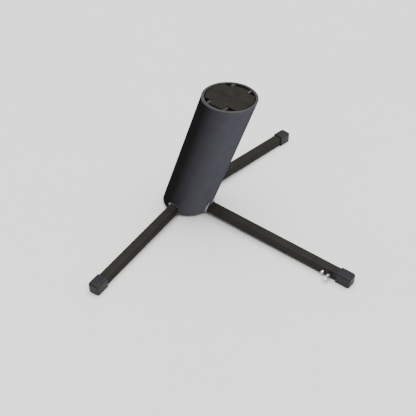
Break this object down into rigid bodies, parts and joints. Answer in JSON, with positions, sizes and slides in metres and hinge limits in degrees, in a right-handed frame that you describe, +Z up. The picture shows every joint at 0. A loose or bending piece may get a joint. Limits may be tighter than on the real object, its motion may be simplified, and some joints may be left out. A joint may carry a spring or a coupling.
{
  "type": "saxophone stand",
  "caption": "Folding saxophone stand: round column leaning over one long and two short square-tube legs, with a pull-up padded cradle and a swing-down bow rest.",
  "frame": {"origin": "centre of the footprint's bounding box, on the floor under the foot caps", "axes": "+Z up; +Y along the long leg, the way the column leans; -Y is the side the instrument is on; +X and -X along the two short legs"},
  "size_m": [0.4812, 0.342, 0.2282],
  "materials": {
    "black_paint": "semi_gloss",
    "plated_steel": "satin",
    "black_screw": "satin",
    "cast_black": "satin",
    "cap_rubber": "matte",
    "pad_rubber": "matte",
    "nylon": "satin",
    "brass_insert": "satin"
  },
  "bodies": {
    "stand": {"column_tube": "black_paint", "base_hub": "cast_black", "leg_pins": "plated_steel", "hub_screws": "black_screw", "collar_screws": "black_screw", "notch_liner_right": "plated_steel", "notch_liner_left": "plated_steel", "notch_liner_rear": "plated_steel", "top_collar": "nylon", "clamp_insert": "brass_insert", "bow_bracket": "plated_steel", "bow_rivets": "plated_steel", "bow_pin": "plated_steel"},
    "leg_right": {"leg_tube_right": "black_paint", "root_plug_right": "nylon", "foot_cap_right": "cap_rubber"},
    "leg_left": {"leg_tube_left": "black_paint", "root_plug_left": "nylon", "foot_cap_left": "cap_rubber"},
    "leg_rear": {"leg_tube_rear": "black_paint", "root_plug_rear": "nylon", "foot_cap_rear": "cap_rubber", "end_insert": "nylon", "stop_screw": "plated_steel", "thumb_screw": "plated_steel"},
    "mast": {"mast_tube": "plated_steel", "guide_ring": "nylon", "guide_screws": "black_screw", "mast_head": "cast_black", "head_pin": "plated_steel", "arm_pins": "plated_steel"},
    "cradle_right": {"cradle_arm_right": "black_paint", "cradle_pad_right": "pad_rubber"},
    "cradle_left": {"cradle_arm_left": "black_paint", "cradle_pad_left": "pad_rubber"},
    "clamp": {"clamp_screw": "plated_steel", "clamp_knob": "nylon"},
    "bow_rest": {"bow_arm": "plated_steel", "bow_pad": "pad_rubber"}
  },
  "joints": [
    {"name": "leg_right_fold", "type": "hinge", "parent": "stand", "child": "leg_right", "pos_m": [0.02188, -0.1283, 0.014], "axis": [-0.1045, 0.9945, 0], "range_deg": [0, 90]},
    {"name": "leg_left_fold", "type": "hinge", "parent": "stand", "child": "leg_left", "pos_m": [-0.02188, -0.1283, 0.014], "axis": [-0.1045, -0.9945, 0], "range_deg": [0, 90]},
    {"name": "leg_rear_fold", "type": "hinge", "parent": "stand", "child": "leg_rear", "pos_m": [0, -0.1036, 0.014], "axis": [-1, 0, 0], "range_deg": [0, 90]},
    {"name": "mast_slide", "type": "slide", "parent": "stand", "child": "mast", "axis": [0, 0.3355, 0.9421], "range_m": [0, 0.095]},
    {"name": "cradle_right_swing", "type": "hinge", "parent": "mast", "child": "cradle_right", "pos_m": [0.027, -0.05248, 0.2254], "axis": [0, 1, 0], "range_deg": [0, 105]},
    {"name": "cradle_left_swing", "type": "hinge", "parent": "mast", "child": "cradle_left", "pos_m": [-0.027, -0.05248, 0.2254], "axis": [0, -1, 0], "range_deg": [0, 105]},
    {"name": "clamp_turn", "type": "hinge", "parent": "stand", "child": "clamp", "pos_m": [-0.02831, -0.09189, 0.19072], "axis": [-0.7431, -0.6304, 0.2245], "range_deg": [-180, 180]},
    {"name": "bow_rest_swing", "type": "hinge", "parent": "stand", "child": "bow_rest", "pos_m": [0, -0.14565, 0.06868], "axis": [1, 0, 0], "range_deg": [0, 100]}
  ]
}
